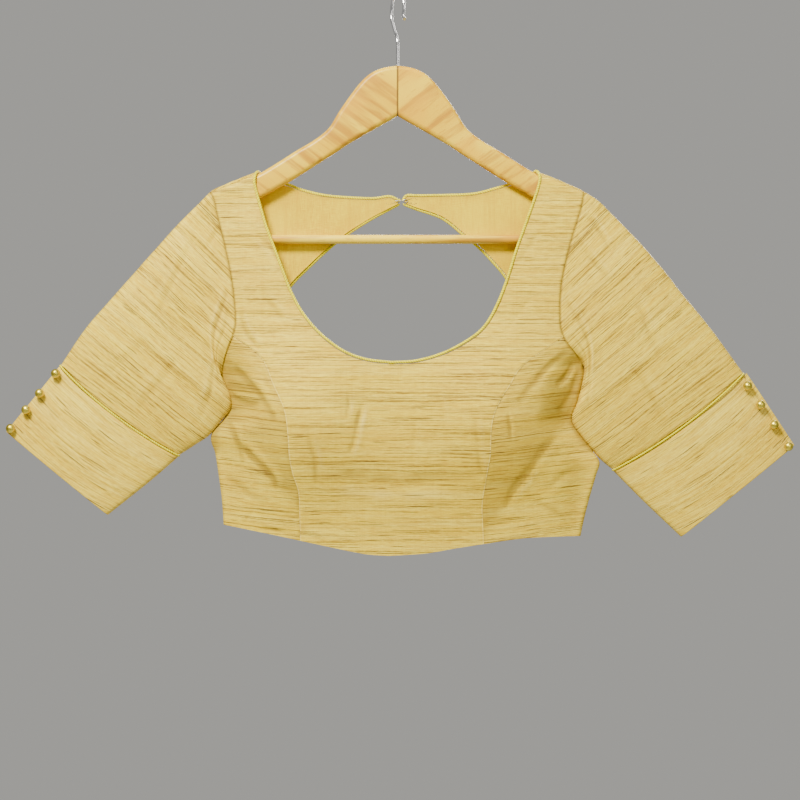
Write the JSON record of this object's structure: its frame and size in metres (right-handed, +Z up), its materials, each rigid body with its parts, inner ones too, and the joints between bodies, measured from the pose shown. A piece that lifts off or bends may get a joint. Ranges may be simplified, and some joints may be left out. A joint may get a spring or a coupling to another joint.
{
  "type": "choli blouse on a wooden hanger",
  "caption": "Short fitted raw-silk blouse with deep scoop neck, keyhole back and buttoned elbow cuffs, hung on a curved wooden hanger with a trouser bar.",
  "frame": {"origin": "inner crown of the hanger's hook, where the rail carries it", "axes": "+X to the viewer's right along the hanger, +Y from the blouse's front to its back, +Z up"},
  "size_m": [0.8644, 0.0619, 0.6212],
  "materials": {
    "silk": "slubbed raw silk, soft sheen",
    "silk_side": "slubbed raw silk, soft sheen",
    "lining": "plain woven cotton, matt",
    "cord": "shiny corded piping",
    "button": "gold-coloured, satin",
    "wood": "clear varnish, satin",
    "chrome": "polished"
  },
  "bodies": {
    "root": {"front_centre": "silk", "front_side_left": "silk_side", "front_side_right": "silk_side", "back_left": "silk", "back_right": "silk", "back_lining_left": "lining", "back_lining_right": "lining", "sleeve_left": "silk", "sleeve_right": "silk", "cuff_left": "silk_side", "cuff_right": "silk_side", "neck_piping": "cord", "keyhole_piping_left": "cord", "keyhole_piping_right": "cord", "cuff_piping_left": "cord", "cuff_piping_right": "cord", "back_hook": "chrome", "back_eye": "chrome", "hanger_arm_left": "wood", "hanger_arm_right": "wood", "hanger_bar": "wood", "hanger_hook": "chrome", "cuff_button_left_1": "button", "cuff_button_left_2": "button", "cuff_button_left_3": "button", "cuff_button_left_4": "button", "cuff_button_right_1": "button", "cuff_button_right_2": "button", "cuff_button_right_3": "button", "cuff_button_right_4": "button"}
  },
  "joints": []
}
